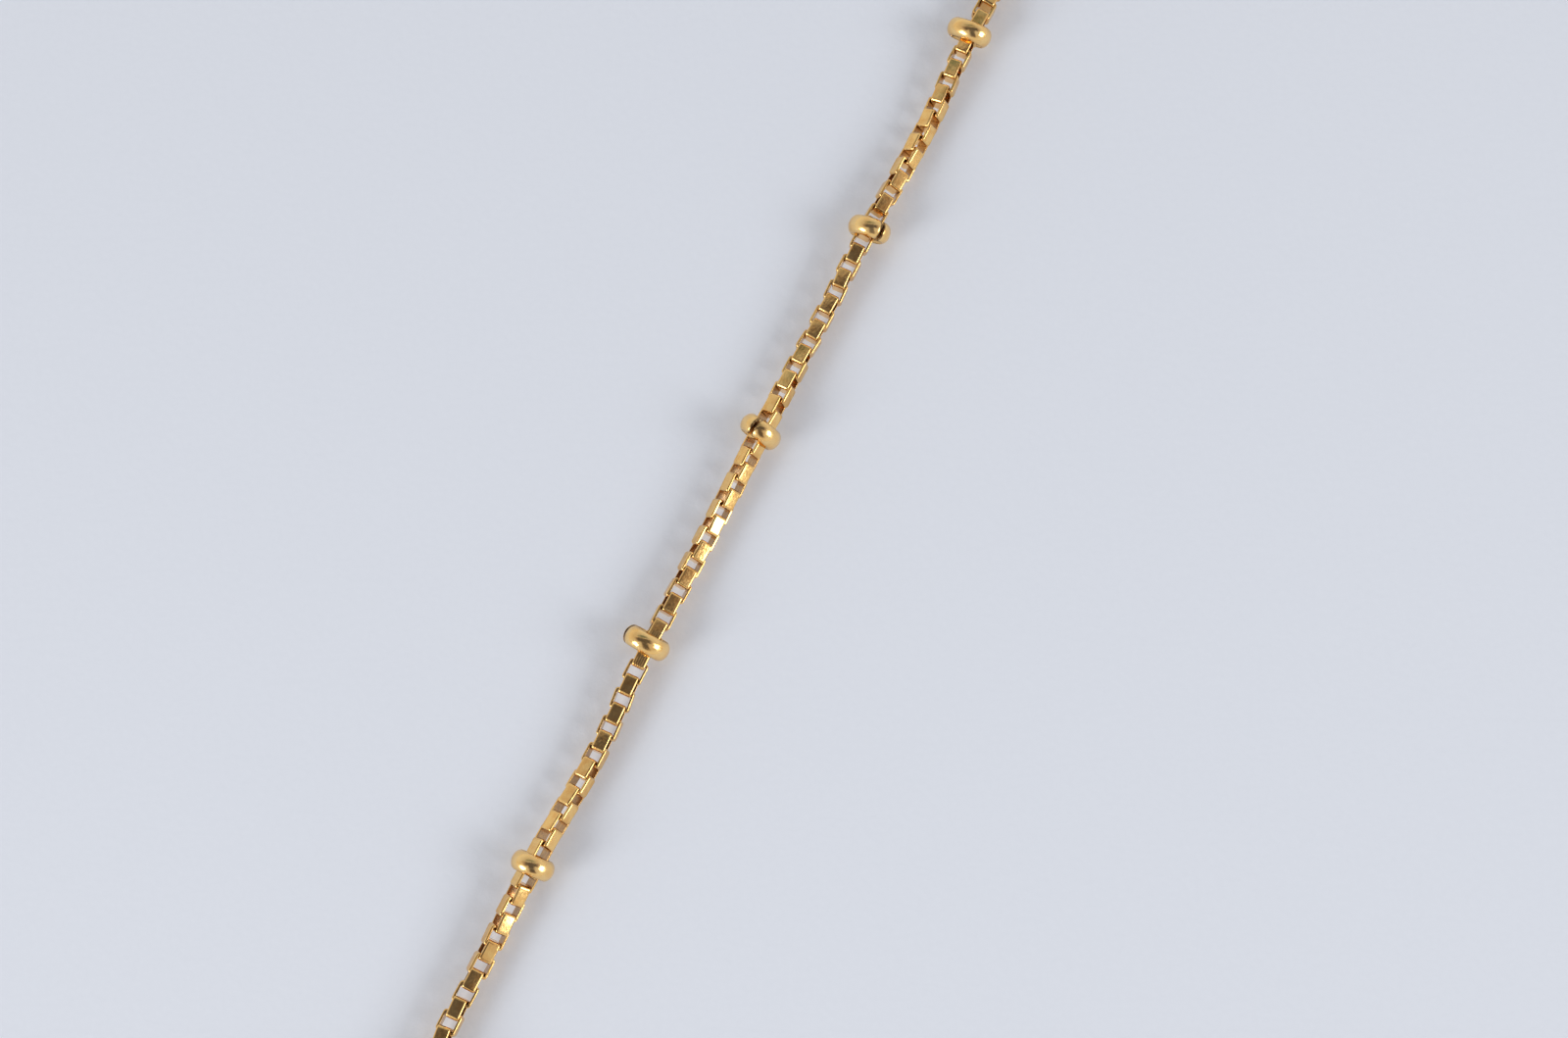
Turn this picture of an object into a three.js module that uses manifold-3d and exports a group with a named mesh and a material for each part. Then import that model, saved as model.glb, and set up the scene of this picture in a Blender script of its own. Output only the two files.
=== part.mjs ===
// A fine gold necklace, laid down as one closed loop: a box chain with small ring beads closed round
// it at even steps, and a spring ring clasp at the back. Millimetres, +Z up, standing on z = 0.
// The front of the loop lies towards -Y and the clasp towards +Y.
import * as THREE from "three";
import { mergeVertices } from "three/addons/utils/BufferGeometryUtils.js";
import Module from "manifold-3d";

const wasm = await Module();
wasm.setup();

// The box chain: links folded from flat strip, each a quarter turn from its neighbours.
const STRIP_WIDTH = 0.7;
const STRIP_THICKNESS = 0.15;
const LINK_WIDTH = 1.05;
const LINK_LENGTH = 1.12;
const LINK_CORNER = 0.12;
const LINK_PITCH = 0.78;
const LINKS_PER_BEAD = 16;
const BEADS_PER_SIDE = 17;
const BEAD_SPACING = LINKS_PER_BEAD * LINK_PITCH;
const HALF_CHAIN = (BEADS_PER_SIDE + 1) * BEAD_SPACING;

// The run of links is one eight-sided bar here, as wide as the links' mean outline. The beads carry
// it clear of the ground, and it sags between them.
const BAR_RADIUS = 0.6;
const BAR_SIDES = 8;
const BAR_STEPS = 2 * (BEADS_PER_SIDE + 1);
const FRONT_GAP = 0.12;
const CARRIED_HEIGHT = 1.14;
const SAG = 0.3;

// The ring beads: half-round wire closed round the chain, its two ends standing out a little.
const BEAD_RADIUS = 1.1;
const BEAD_HOLE_RADIUS = 0.7;
const BEAD_MOUTH_RADIUS = 0.82;
const BEAD_CROWN = 0.54;
const BEAD_SEAM = 0.15;
const BEAD_SIDES = 12;
const CROWN_STEPS = 5;

// The clasp and the two end rings, all plain.
const CLASP_RADIUS = 2.1;
const CLASP_TUBE = 0.5;
const TUBE_SIDES = 10;
const CLASP_SIDES = 24;
const EYE_RADIUS = 0.75;
const EYE_WIRE = 0.22;
const EYE_OVERLAP = 0.15;
const EYE_SIDES = 12;
const KNOB_RADIUS = 0.32;
const KNOB_LENGTH = 0.6;
const KNOB_SIDES = 8;
const END_RING_RADIUS = 1.1;
const END_RING_WIRE = 0.2;
const END_RING_SIDES = 16;
const WIRE_SIDES = 6;
const RING_CENTRE_TO_LINK = 1.18;
const CLASP_DROP = 0.37;
const EYE_DROP = 0.6;
const EYE_SET_IN = 0.1;

// How the parts of the fastening add up along the back of the loop.
const END_RING_HEIGHT = END_RING_RADIUS + END_RING_WIRE;
const EYE_CENTRE = CLASP_RADIUS + CLASP_TUBE + EYE_RADIUS - EYE_OVERLAP;
const CLASP_REACH = CLASP_RADIUS + EYE_CENTRE + EYE_RADIUS;
const RING_SPAN = CLASP_REACH + EYE_SET_IN;
const FASTENING_SPAN = RING_SPAN + 2 * RING_CENTRE_TO_LINK;

// The loop in plan: a round front, two straight sides that lean in, and a smaller round back.
const SIDE_LEAN = THREE.MathUtils.degToRad(27);
const SIDE_STRAIGHT = 68;
const FRONT_TURN = Math.PI / 2 + SIDE_LEAN;
const RADIUS_STEP = (FASTENING_SPAN / 2 + SIDE_STRAIGHT * Math.sin(SIDE_LEAN)) / Math.cos(SIDE_LEAN);
const BACK_RADIUS = (HALF_CHAIN - SIDE_STRAIGHT - FRONT_TURN * RADIUS_STEP) / Math.PI;
const FRONT_RADIUS = BACK_RADIUS + RADIUS_STEP;
const CENTRE_STEP = SIDE_STRAIGHT * Math.cos(SIDE_LEAN) + RADIUS_STEP * Math.sin(SIDE_LEAN);
const FRONT_REACH = FRONT_RADIUS + BEAD_RADIUS;
const BACK_REACH = BACK_RADIUS + CLASP_RADIUS + CLASP_TUBE + KNOB_LENGTH;
const FRONT_CENTRE_Y = (FRONT_REACH - CENTRE_STEP - BACK_REACH) / 2;
const BACK_CENTRE_Y = FRONT_CENTRE_Y + CENTRE_STEP;
const BACK_LINE_Y = BACK_CENTRE_Y + BACK_RADIUS;

const LEFT = -1;
const RIGHT = 1;

// How some beads sit on the chain, in degrees: turn carries the seam round from the top towards the
// inside of the loop, lean tips the bead's top towards the front end of the chain, and yaw swings the
// bead seen from above. Lip is how far its two ends stand out, in millimetres.
const BEAD_SETTINGS = [
  { side: LEFT, number: 11, turn: 150, lean: 2, yaw: 4, lip: 0.08 },
  { side: LEFT, number: 12, turn: -65, lean: 9, yaw: -3, lip: 0.33 },
  { side: LEFT, number: 13, turn: -12, lean: 7, yaw: -10, lip: 0.28 },
  { side: LEFT, number: 14, turn: 38, lean: 11, yaw: 7, lip: 0.2 },
  { side: LEFT, number: 15, turn: -112, lean: 18, yaw: 4, lip: 0.3 },
];
const FRONT_BEAD = { turn: 0, lean: 0, yaw: 0, lip: 0.25 };
const LOOSE_TURN = 100;
const LOOSE_LEAN = 6;
const LOOSE_LIP = 0.25;
const LOOSE_STEP = 2.4;

const chainGold = new THREE.MeshStandardMaterial({ color: 0xd6a545, metalness: 1, roughness: 0.24 });
const beadGold = new THREE.MeshStandardMaterial({ color: 0xd9ab4e, metalness: 1, roughness: 0.18 });
const claspGold = new THREE.MeshStandardMaterial({ color: 0xd6a84a, metalness: 1, roughness: 0.2 });

// A closed geometry as a manifold solid.
function solidOf(geometry) {
  const bare = geometry.clone();
  bare.deleteAttribute("normal");
  bare.deleteAttribute("uv");
  const merged = mergeVertices(bare);
  return new wasm.Manifold(
    new wasm.Mesh({
      numProp: 3,
      vertProperties: merged.attributes.position.array,
      triVerts: new Uint32Array(merged.index.array),
    }),
  );
}

// A manifold solid as a flat-shaded geometry.
function geometryOf(solid) {
  const { vertProperties, triVerts } = solid.getMesh();
  const indexed = new THREE.BufferGeometry()
    .setAttribute("position", new THREE.BufferAttribute(vertProperties, 3))
    .setIndex(new THREE.BufferAttribute(triVerts, 1));
  const flat = indexed.toNonIndexed();
  flat.computeVertexNormals();
  return flat;
}

// The height of the chain's middle: carried at each bead, lower between them, and up to the end ring.
function chainHeight(distance) {
  const spans = distance / BEAD_SPACING;
  const along = spans % 1;
  const past = Math.max(0, spans - BEADS_PER_SIDE);
  return THREE.MathUtils.lerp(CARRIED_HEIGHT, END_RING_HEIGHT, past) - 4 * SAG * along * (1 - along);
}

// The direction of the chain in plan, as the angle turned since the front.
function headingAngle(distance) {
  const frontArc = FRONT_TURN * FRONT_RADIUS;
  const pastSide = Math.max(0, distance - frontArc - SIDE_STRAIGHT);
  return Math.min(distance, frontArc) / FRONT_RADIUS + pastSide / BACK_RADIUS;
}

// A point of the chain's middle line, by its distance along the chain from the front.
function chainPoint(distance, side) {
  const angle = headingAngle(distance);
  const straight = THREE.MathUtils.clamp(distance - FRONT_TURN * FRONT_RADIUS, 0, SIDE_STRAIGHT);
  const onBack = straight === SIDE_STRAIGHT;
  const radius = onBack ? BACK_RADIUS : FRONT_RADIUS;
  const along = onBack ? 0 : straight;
  const centreX = onBack ? FASTENING_SPAN / 2 : 0;
  const centreY = onBack ? BACK_CENTRE_Y : FRONT_CENTRE_Y;
  return new THREE.Vector3(
    side * (centreX + radius * Math.sin(angle) + along * Math.cos(angle)),
    centreY - radius * Math.cos(angle) + along * Math.sin(angle),
    chainHeight(distance),
  );
}

// One side's chain as a curve, from just past the front to the end link.
class SideRoute extends THREE.Curve {
  constructor(side, start, end) {
    super();
    Object.assign(this, { side, start, end });
  }

  getPoint(t, target = new THREE.Vector3()) {
    return target.copy(chainPoint(THREE.MathUtils.lerp(this.start, this.end, t), this.side));
  }
}

// A square link folded from strip, lying flat with its opening upwards and its length along X.
function endLinkSolid() {
  const halfLength = LINK_LENGTH / 2;
  const halfWidth = LINK_WIDTH / 2;
  const outline = new THREE.Shape([
    new THREE.Vector2(-halfLength + LINK_CORNER, -halfWidth),
    new THREE.Vector2(halfLength - LINK_CORNER, -halfWidth),
    new THREE.Vector2(halfLength, -halfWidth + LINK_CORNER),
    new THREE.Vector2(halfLength, halfWidth - LINK_CORNER),
    new THREE.Vector2(halfLength - LINK_CORNER, halfWidth),
    new THREE.Vector2(-halfLength + LINK_CORNER, halfWidth),
    new THREE.Vector2(-halfLength, halfWidth - LINK_CORNER),
    new THREE.Vector2(-halfLength, -halfWidth + LINK_CORNER),
  ]);
  const inLength = halfLength - STRIP_THICKNESS;
  const inWidth = halfWidth - STRIP_THICKNESS;
  outline.holes.push(
    new THREE.Path([
      new THREE.Vector2(-inLength, -inWidth),
      new THREE.Vector2(-inLength, inWidth),
      new THREE.Vector2(inLength, inWidth),
      new THREE.Vector2(inLength, -inWidth),
    ]),
  );
  const folded = new THREE.ExtrudeGeometry(outline, { depth: STRIP_WIDTH, bevelEnabled: false });
  return solidOf(folded.translate(0, 0, -STRIP_WIDTH / 2));
}

// One side of the chain: the bar from the front bead back to its end link, fused.
function chainGeometry(side) {
  const round = new THREE.EllipseCurve(0, 0, BAR_RADIUS, BAR_RADIUS, 0, 2 * Math.PI);
  const section = new THREE.Shape(round.getPoints(BAR_SIDES).slice(0, -1));
  const barEnd = HALF_CHAIN - LINK_LENGTH / 2 + STRIP_THICKNESS / 2;
  const bar = new THREE.ExtrudeGeometry(section, {
    steps: BAR_STEPS,
    extrudePath: new SideRoute(side, FRONT_GAP / 2, barEnd),
  });
  const end = chainPoint(HALF_CHAIN, side);
  return geometryOf(solidOf(bar).add(endLinkSolid().translate([end.x, end.y, end.z])));
}

// The half-round section of a bead's wire, out from the bead's axis and along it, as a closed line.
function beadProfile() {
  const crownHeight = BEAD_RADIUS - BEAD_HOLE_RADIUS;
  const edgeAngle = Math.acos((BEAD_MOUTH_RADIUS - BEAD_HOLE_RADIUS) / crownHeight);
  const profile = [new THREE.Vector2(BEAD_HOLE_RADIUS, 0)];
  for (let step = 0; step <= CROWN_STEPS; step += 1) {
    const angle = THREE.MathUtils.lerp(-edgeAngle, edgeAngle, step / CROWN_STEPS);
    const radius = BEAD_HOLE_RADIUS + crownHeight * Math.cos(angle);
    profile.push(new THREE.Vector2(radius, BEAD_CROWN * Math.sin(angle)));
  }
  profile.push(profile[0]);
  return profile;
}

// A ring bead round the Y axis, with its seam towards +Z. Its flats touch the true round, and its
// wire moves outwards near the seam, by the full lip at the seam itself.
function beadGeometry(lip) {
  const halfSide = Math.PI / BEAD_SIDES;
  const ring = new THREE.LatheGeometry(beadProfile(), BEAD_SIDES, halfSide);
  const places = ring.attributes.position;
  for (let index = 0; index < places.count; index += 1) {
    const angle = Math.atan2(places.getX(index), places.getZ(index));
    const round = Math.hypot(places.getX(index), places.getZ(index)) / Math.cos(halfSide);
    const radius = round + lip * ((1 + Math.cos(angle)) / 2) ** 3;
    places.setX(index, radius * Math.sin(angle));
    places.setZ(index, radius * Math.cos(angle));
  }
  const slit = new THREE.BoxGeometry(BEAD_SEAM, 4 * BEAD_CROWN, 2 * BEAD_RADIUS);
  slit.translate(0, 0, BEAD_RADIUS);
  return geometryOf(solidOf(ring).subtract(solidOf(slit)));
}

// A bead's name, from its side and its number counted back from the front bead.
function beadName(side, number) {
  return `bead_${side === LEFT ? "left" : "right"}_${String(number).padStart(2, "0")}`;
}

// How a bead sits: as its row says, or else turned and tipped a little by a steady rule.
function beadSetting(side, number) {
  const row = BEAD_SETTINGS.find((setting) => setting.side === side && setting.number === number);
  const phase = LOOSE_STEP * number + side;
  return row ?? {
    turn: LOOSE_TURN * Math.sin(phase),
    lean: LOOSE_LEAN * Math.sin(2 * phase),
    yaw: LOOSE_LEAN * Math.cos(3 * phase),
    lip: LOOSE_LIP,
  };
}

// A bead set on the chain, and lowered or lifted until it just touches the ground.
function beadMesh(name, side, distance, { turn, lean, yaw, lip }) {
  const bead = new THREE.Mesh(beadGeometry(lip), beadGold);
  bead.name = name;
  const angle = headingAngle(distance);
  const along = new THREE.Vector3(side * Math.cos(angle), Math.sin(angle), 0);
  const up = new THREE.Vector3(0, 0, 1);
  const across = new THREE.Vector3().crossVectors(along, up);
  const inwards = across.clone().multiplyScalar(-side);
  const frame = new THREE.Matrix4().makeBasis(across, along, up);
  const yawed = new THREE.Quaternion().setFromAxisAngle(up, THREE.MathUtils.degToRad(yaw));
  const leant = new THREE.Quaternion().setFromAxisAngle(inwards, THREE.MathUtils.degToRad(-side * lean));
  const onChain = new THREE.Quaternion().setFromRotationMatrix(frame);
  const beadAxis = new THREE.Vector3(0, 1, 0);
  const turned = new THREE.Quaternion().setFromAxisAngle(beadAxis, THREE.MathUtils.degToRad(-side * turn));
  bead.quaternion.copy(yawed).multiply(leant).multiply(onChain).multiply(turned);
  bead.position.copy(chainPoint(distance, side));
  bead.position.z -= new THREE.Box3().setFromObject(bead, true).min.z;
  return bead;
}

// The clasp: a spring ring with its eye and its knob, drawn round its middle and lying flat.
function claspGeometry() {
  const ring = new THREE.TorusGeometry(CLASP_RADIUS, CLASP_TUBE, TUBE_SIDES, CLASP_SIDES);
  const eye = new THREE.TorusGeometry(EYE_RADIUS, EYE_WIRE, WIRE_SIDES, EYE_SIDES);
  eye.translate(EYE_CENTRE, 0, 0);
  const knobDepth = CLASP_TUBE + KNOB_LENGTH;
  const knob = new THREE.CylinderGeometry(KNOB_RADIUS, KNOB_RADIUS, knobDepth, KNOB_SIDES);
  knob.translate(0, CLASP_RADIUS + knobDepth / 2, 0);
  return geometryOf(solidOf(ring).add(solidOf(eye)).add(solidOf(knob)));
}

// The clasp in its place between the two upright end rings, a little lower at its eye.
function claspMesh() {
  const clasp = new THREE.Mesh(claspGeometry(), claspGold);
  clasp.name = "clasp";
  const tilt = Math.asin((EYE_DROP - CLASP_DROP) / CLASP_REACH);
  clasp.position.set(
    -RING_SPAN / 2 + CLASP_RADIUS * Math.cos(tilt),
    BACK_LINE_Y,
    END_RING_HEIGHT - CLASP_DROP - CLASP_RADIUS * Math.sin(tilt),
  );
  clasp.rotation.y = tilt;
  return clasp;
}

// An end ring, standing upright through the clasp and the last link of its side.
function endRingMesh(side) {
  const wire = new THREE.TorusGeometry(END_RING_RADIUS, END_RING_WIRE, WIRE_SIDES, END_RING_SIDES);
  const ring = new THREE.Mesh(wire, claspGold);
  ring.name = side === LEFT ? "end_ring_left" : "end_ring_right";
  ring.rotation.x = Math.PI / 2;
  ring.position.set((side * RING_SPAN) / 2, BACK_LINE_Y, END_RING_HEIGHT);
  return ring;
}

const necklace = new THREE.Group();

necklace.add(beadMesh("bead_front", RIGHT, 0, FRONT_BEAD));
for (const side of [LEFT, RIGHT]) {
  const chain = new THREE.Mesh(chainGeometry(side), chainGold);
  chain.name = side === LEFT ? "chain_left" : "chain_right";
  necklace.add(chain);
  for (let number = 1; number <= BEADS_PER_SIDE; number += 1) {
    const setting = beadSetting(side, number);
    necklace.add(beadMesh(beadName(side, number), side, number * BEAD_SPACING, setting));
  }
  necklace.add(endRingMesh(side));
}
necklace.add(claspMesh());

export default necklace;
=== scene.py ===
"""A fine gold necklace laid down as a closed loop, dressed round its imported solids.

The box chain is made link by link, each ring bead is a smooth turn of half-round wire with an open
seam, and a spring ring clasp hangs between two jump rings at the back. Sizes in the classes are in
millimetres, and a mesh is turned into metres when its piece is made.
"""

import logging
import math
from dataclasses import dataclass, field
from enum import Enum

import bpy
import numpy as np
from mathutils import Matrix, Quaternion, Vector


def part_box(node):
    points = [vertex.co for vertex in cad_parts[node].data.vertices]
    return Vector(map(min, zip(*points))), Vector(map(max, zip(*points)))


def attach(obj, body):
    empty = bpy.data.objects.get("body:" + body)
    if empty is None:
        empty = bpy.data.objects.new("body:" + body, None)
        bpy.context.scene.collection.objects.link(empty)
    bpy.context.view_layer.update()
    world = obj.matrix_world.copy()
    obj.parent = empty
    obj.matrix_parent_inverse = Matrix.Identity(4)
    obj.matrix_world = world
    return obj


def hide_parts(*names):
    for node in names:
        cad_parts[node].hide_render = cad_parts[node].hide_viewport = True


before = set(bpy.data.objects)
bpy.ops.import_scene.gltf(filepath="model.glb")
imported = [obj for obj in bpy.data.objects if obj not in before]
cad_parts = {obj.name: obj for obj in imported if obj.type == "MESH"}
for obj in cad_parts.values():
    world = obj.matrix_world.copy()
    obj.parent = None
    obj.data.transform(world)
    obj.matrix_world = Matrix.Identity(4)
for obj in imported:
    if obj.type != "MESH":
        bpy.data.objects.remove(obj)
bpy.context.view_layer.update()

MM = 0.001
LOG = logging.getLogger("necklace")
BODY = "root"
# What a mesh holds at each point for its finish, and the distance of a point far from any seam
PLACE = "wire_place"
SEAM = "seam_distance"
FAR_FROM_SEAM = 9.0
# The two ends of a fade that rises, and of one that falls
RISING = (0.0, 1.0)
FALLING = (1.0, 0.0)


class Side(Enum):
    """A side of the loop, seen from above with the clasp at the back."""

    LEFT = -1
    RIGHT = 1

    @property
    def word(self) -> str:
        """The side's name in the pieces' names."""
        return self.name.lower()


class Slot(Enum):
    """The record's material slots."""

    CHAIN = "chain_gold"
    BEAD = "bead_gold"
    CLASP = "clasp_gold"


def ring_faces(rows: int, columns: int, closed: bool) -> list[tuple[int, ...]]:
    """Joins rows of points, each row a closed line, into a skin of four-sided faces.

    Args:
        rows: how many rows there are.
        columns: how many points each row has.
        closed: whether the last row joins the first. If not, a face fills each end row.

    Returns:
        The faces, as indices into the points row by row.
    """
    faces = []
    for row in range(rows if closed else rows - 1):
        here = row * columns
        there = ((row + 1) % rows) * columns
        for column in range(columns):
            beside = (column + 1) % columns
            faces.append((here + column, there + column, there + beside, here + beside))
    if not closed:
        last = (rows - 1) * columns
        faces.append(tuple(range(columns)))
        faces.append(tuple(range(last, last + columns))[::-1])
    return faces


@dataclass
class Shape:
    """A mesh on its way: its points, and what the finishes read at each of them.

    Attributes:
        points: the points, in millimetres.
        faces: the faces, as indices into the points.
        place: where each point is along, across and through its wire, in millimetres.
        normals: the surface's direction at each point, or None to have it worked out.
        seam: how far each point is from a cut end or an inner face, in millimetres, which the
            finishes paint tarnish and shade by.
    """

    points: np.ndarray
    faces: list[tuple[int, ...]]
    place: np.ndarray
    normals: np.ndarray | None = None
    seam: np.ndarray | None = None

    def moved(self, matrix: Matrix) -> "Shape":
        """Carries the shape to another place.

        Args:
            matrix: a turn and a shift, in millimetres.

        Returns:
            The shape in its new place.
        """
        turn = np.array(matrix.to_3x3())
        points = self.points @ turn.T + np.array(matrix.to_translation())
        normals = None if self.normals is None else self.normals @ turn.T
        return Shape(points, self.faces, self.place, normals, self.seam)

    @staticmethod
    def joined(shapes: list["Shape"]) -> "Shape":
        """Puts shapes together as one.

        Args:
            shapes: the shapes, which all have normals or all have none.

        Returns:
            One shape that holds them all.
        """
        faces = []
        start = 0
        for shape in shapes:
            faces.extend(tuple(index + start for index in face) for face in shape.faces)
            start += len(shape.points)
        points = np.concatenate([shape.points for shape in shapes])
        place = np.concatenate([shape.place for shape in shapes])
        has_normals = shapes[0].normals is not None
        normals = np.concatenate([shape.normals for shape in shapes]) if has_normals else None
        has_seam = shapes[0].seam is not None
        seam = np.concatenate([shape.seam for shape in shapes]) if has_seam else None
        return Shape(points, faces, place, normals, seam)

    def piece(self, name: str, material: bpy.types.Material) -> bpy.types.Object:
        """Makes the shape a smooth piece of the necklace.

        Args:
            name: the piece's name.
            material: its finish.

        Returns:
            The new object, in metres.
        """
        mesh = bpy.data.meshes.new(name)
        mesh.from_pydata((self.points * MM).tolist(), [], self.faces)
        mesh.polygons.foreach_set("use_smooth", [True] * len(mesh.polygons))
        placed = mesh.attributes.new(PLACE, "FLOAT_VECTOR", "POINT")
        placed.data.foreach_set("vector", self.place.astype(np.float32).ravel())
        seam = np.full(len(self.points), FAR_FROM_SEAM) if self.seam is None else self.seam
        from_seam = mesh.attributes.new(SEAM, "FLOAT", "POINT")
        from_seam.data.foreach_set("value", seam.astype(np.float32))
        if self.normals is not None:
            mesh.normals_split_custom_set_from_vertices(self.normals.tolist())
        mesh.materials.append(material)
        mesh.validate()
        made = bpy.data.objects.new(name, mesh)
        bpy.context.scene.collection.objects.link(made)
        return made


def fit_piece(piece: bpy.types.Object, slot: Slot, *nodes: str) -> None:
    """Fixes a piece to the necklace's one body, in place of its plain solids.

    Args:
        piece: the new piece.
        slot: the material slot it would take its finish from; not used.
        nodes: the solids that it stands for.
    """
    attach(piece, BODY)
    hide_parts(*nodes)
    LOG.info("%s: %d faces", piece.name, len(piece.data.polygons))


@dataclass(frozen=True)
class Route:
    """The loop's plan and the height of the chain along it.

    Attributes:
        front_y: where the middle of the front bead is.
        back_y: where the two jump rings are.
        ring_span: from one jump ring's middle to the other's.
        ring_height: the height of their middles.
        link_pitch: from one link to the next.
        links_per_bead: how many links there are from bead to bead.
        beads_per_side: how many beads there are on a side, without the front one.
        ring_to_link: from a jump ring's middle to the last link's.
        side_lean: how far the straight sides lean in.
        side_straight: how long they are.
        carried_height: the height of the chain's middle at a bead.
        sag: how much lower it is halfway between beads.
        bows: sideways bends towards the loop's inside, by side and the bead they start from.
    """

    front_y: float
    back_y: float
    ring_span: float
    ring_height: float
    link_pitch: float = 0.78
    links_per_bead: int = 16
    beads_per_side: int = 17
    ring_to_link: float = 1.18
    side_lean: float = math.radians(27)
    side_straight: float = 68.0
    carried_height: float = 1.14
    sag: float = 0.3
    bows: tuple[tuple[Side, int, float], ...] = (
        (Side.LEFT, 11, 0.2),
        (Side.LEFT, 14, 0.18),
        (Side.LEFT, 16, -0.15),
        (Side.LEFT, 8, -0.12),
        (Side.RIGHT, 5, 0.16),
        (Side.RIGHT, 9, -0.14),
        (Side.RIGHT, 13, 0.18),
    )

    @staticmethod
    def from_frame() -> "Route":
        """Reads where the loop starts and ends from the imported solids.

        Returns:
            The loop that runs through the front bead and the two jump rings.
        """
        front = sum(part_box("bead_front"), Vector()) / 2 / MM
        left = sum(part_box("end_ring_left"), Vector()) / 2 / MM
        right = sum(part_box("end_ring_right"), Vector()) / 2 / MM
        return Route(front.y, left.y, right.x - left.x, left.z)

    @property
    def bead_spacing(self) -> float:
        """From bead to bead along the chain."""
        return self.links_per_bead * self.link_pitch

    @property
    def half_chain(self) -> float:
        """From the front bead to the last link of a side."""
        return (self.beads_per_side + 1) * self.bead_spacing

    @property
    def half_gap(self) -> float:
        """From the loop's middle to the last link of a side."""
        return self.ring_span / 2 + self.ring_to_link

    @property
    def front_turn(self) -> float:
        """How far the chain turns round each half of the front."""
        return math.pi / 2 + self.side_lean

    @property
    def radius_step(self) -> float:
        """How much larger the front's radius is than the back's."""
        across = self.half_gap + self.side_straight * math.sin(self.side_lean)
        return across / math.cos(self.side_lean)

    @property
    def back_radius(self) -> float:
        """The radius of the bends beside the clasp."""
        turned = self.half_chain - self.side_straight - self.front_turn * self.radius_step
        return turned / math.pi

    @property
    def front_radius(self) -> float:
        """The radius of the round front."""
        return self.back_radius + self.radius_step

    def heading(self, distance: float) -> float:
        """The angle that the chain has turned by.

        Args:
            distance: how far along the chain, from the front.

        Returns:
            The angle in radians.
        """
        front_arc = self.front_turn * self.front_radius
        past_side = max(0.0, distance - front_arc - self.side_straight)
        return min(distance, front_arc) / self.front_radius + past_side / self.back_radius

    def height(self, distance: float) -> float:
        """The height of the chain's middle: carried at each bead, and sagging between them.

        Args:
            distance: how far along the chain, from the front.

        Returns:
            The height in millimetres.
        """
        spans = distance / self.bead_spacing
        share = spans % 1
        past = max(0.0, spans - self.beads_per_side)
        carried = self.carried_height + (self.ring_height - self.carried_height) * past
        return carried - 4 * self.sag * share * (1 - share)

    def bow(self, side: Side, distance: float) -> float:
        """The chain's shift towards the inside of the loop.

        Args:
            side: the side of the loop.
            distance: how far along the chain, from the front.

        Returns:
            The shift in millimetres.
        """
        number = int(distance // self.bead_spacing)
        share = distance / self.bead_spacing - number
        for bowed, start, depth in self.bows:
            if bowed is side and start == number:
                return depth * math.sin(math.pi * share) ** 2
        return 0.0

    def point(self, side: Side, distance: float) -> Vector:
        """A point of the chain's middle line.

        Args:
            side: the side of the loop.
            distance: how far along the chain, from the front.

        Returns:
            The point, in millimetres.
        """
        angle = self.heading(distance)
        straight = min(max(distance - self.front_turn * self.front_radius, 0.0), self.side_straight)
        on_back = straight == self.side_straight
        radius = self.back_radius if on_back else self.front_radius
        along = 0.0 if on_back else straight
        centre_x = self.half_gap if on_back else 0.0
        centre_y = self.back_y - self.back_radius if on_back else self.front_y + self.front_radius
        inward = radius - self.bow(side, distance)
        x = centre_x + inward * math.sin(angle) + along * math.cos(angle)
        y = centre_y - inward * math.cos(angle) + along * math.sin(angle)
        return Vector((side.value * x, y, self.height(distance)))

    def setting(self, side: Side, distance: float) -> Matrix:
        """A place on the chain, with X along it, Z up and its middle on the chain's line.

        Args:
            side: the side of the loop.
            distance: how far along the chain, from the front.

        Returns:
            The place as a matrix, in millimetres.
        """
        step = self.link_pitch / 2
        start = max(0.0, distance - step)
        end = min(self.half_chain, distance + step)
        along = (self.point(side, end) - self.point(side, start)).normalized()
        if distance == 0:
            along = Vector((side.value, 0, 0))
        across = Vector((0, 0, 1)).cross(along).normalized()
        up = along.cross(across)
        turned = Matrix((along, across, up)).transposed().to_4x4()
        return Matrix.Translation(self.point(side, distance)) @ turned


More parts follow.
